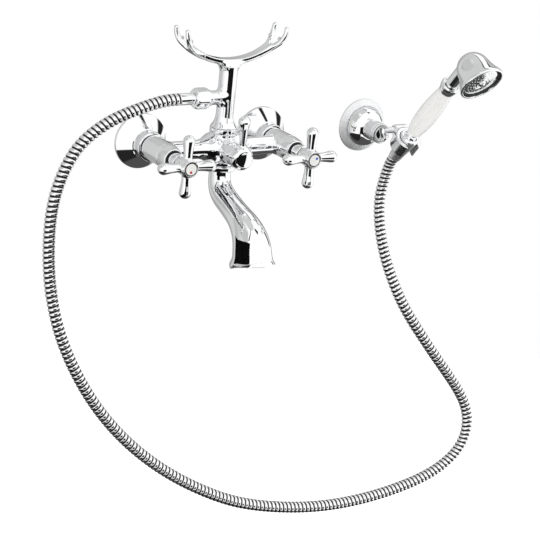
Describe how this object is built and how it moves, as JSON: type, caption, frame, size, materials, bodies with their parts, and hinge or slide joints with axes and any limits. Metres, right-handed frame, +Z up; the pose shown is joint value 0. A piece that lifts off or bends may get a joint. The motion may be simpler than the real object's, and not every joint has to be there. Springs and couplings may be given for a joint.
{
  "type": "bath shower mixer",
  "caption": "Wall bath mixer: bridge body with cross handles, diverter lever, curved spout, riser with forked cradle, metal hose, wall bracket with open clip and bell-headed handset.",
  "frame": {"origin": "midway between the two inlet centres, on the wall plane", "axes": "+Z up, +Y into the wall, +X to the right as seen from the front"},
  "size_m": [0.561, 0.2021, 0.5601],
  "materials": {
    "chrome": "polished chrome plate",
    "brass": "machined, unplated",
    "rubber": "matt black seal rubber",
    "fibre": "pressed fibre",
    "disc_ceramic": "lapped",
    "porcelain": "white glaze",
    "red_enamel": "gloss enamel dot",
    "blue_enamel": "gloss enamel dot",
    "steel": "plain steel",
    "pale_plastic": "moulded",
    "clear_buffer": "translucent soft plastic",
    "hose_metal": "polished spiral-wound metal"
  },
  "bodies": {
    "mixer": {"wall_connector_left": "brass", "wall_connector_right": "brass", "wall_flange_left": "chrome", "wall_flange_right": "chrome", "union_nuts": "chrome", "union_washers": "fibre", "mixer_body": "chrome", "headwork_left": "brass", "headwork_right": "brass", "seat_seals": "rubber", "fixed_discs": "disc_ceramic", "bonnet_left": "chrome", "bonnet_right": "chrome", "diverter_cartridge": "brass", "diverter_sleeve": "chrome", "spout": "chrome", "spout_collar": "chrome", "spout_insert": "pale_plastic", "riser_collar": "chrome", "riser_column": "chrome", "joint_gaskets": "rubber", "cradle": "chrome", "cradle_buffers": "clear_buffer", "hose_hex_nut": "chrome", "hose_washer_mixer": "rubber", "hose_ferrule_mixer": "chrome", "hose_main": "hose_metal", "bracket_flange": "chrome", "bracket_wall_plate": "steel", "bracket_stem": "chrome", "bracket_lock_screw": "chrome"},
    "hot_handle": {"cross_handle_hot": "chrome", "handle_screw_hot": "brass", "index_disc_hot": "porcelain", "index_dot_hot": "red_enamel", "spindle_hot": "brass", "moving_disc_hot": "disc_ceramic"},
    "cold_handle": {"cross_handle_cold": "chrome", "handle_screw_cold": "brass", "index_disc_cold": "porcelain", "index_dot_cold": "blue_enamel", "spindle_cold": "brass", "moving_disc_cold": "disc_ceramic"},
    "diverter": {"diverter_lever": "chrome", "diverter_spindle": "brass", "diverter_grub_screw": "steel"},
    "holder": {"holder_clip": "chrome", "bracket_arm": "chrome", "hose_end": "hose_metal"},
    "handset": {"handset_tail": "chrome", "handset_handle": "porcelain", "handset_collar": "chrome", "handset_head": "chrome", "handset_face_seal": "rubber", "handset_spray_plate": "chrome", "handset_centre_screw": "chrome", "hose_cone_nut": "chrome", "hose_ferrule_handset": "brass", "hose_washer_handset": "rubber"}
  },
  "joints": [
    {"name": "hot_turn", "type": "hinge", "parent": "mixer", "child": "hot_handle", "pos_m": [-0.075, -0.104, 0], "axis": [0, -1, 0], "range_deg": [0, 90]},
    {"name": "cold_turn", "type": "hinge", "parent": "mixer", "child": "cold_handle", "pos_m": [0.075, -0.104, 0], "axis": [0, -1, 0], "range_deg": [-90, 0]},
    {"name": "diverter_turn", "type": "hinge", "parent": "mixer", "child": "diverter", "pos_m": [0, -0.0865, 0], "axis": [0, 1, 0], "range_deg": [0, 90]},
    {"name": "holder_tilt", "type": "hinge", "parent": "mixer", "child": "holder", "pos_m": [0.242, -0.034, 0.0035], "axis": [1, 0, 0], "range_deg": [-35, 20], "deforming": ["hose_main"]},
    {"name": "handset_lift", "type": "slide", "parent": "holder", "child": "handset", "axis": [0, -0.6293, 0.7771], "range_m": [0, 0.038], "deforming": ["hose_end"]}
  ]
}
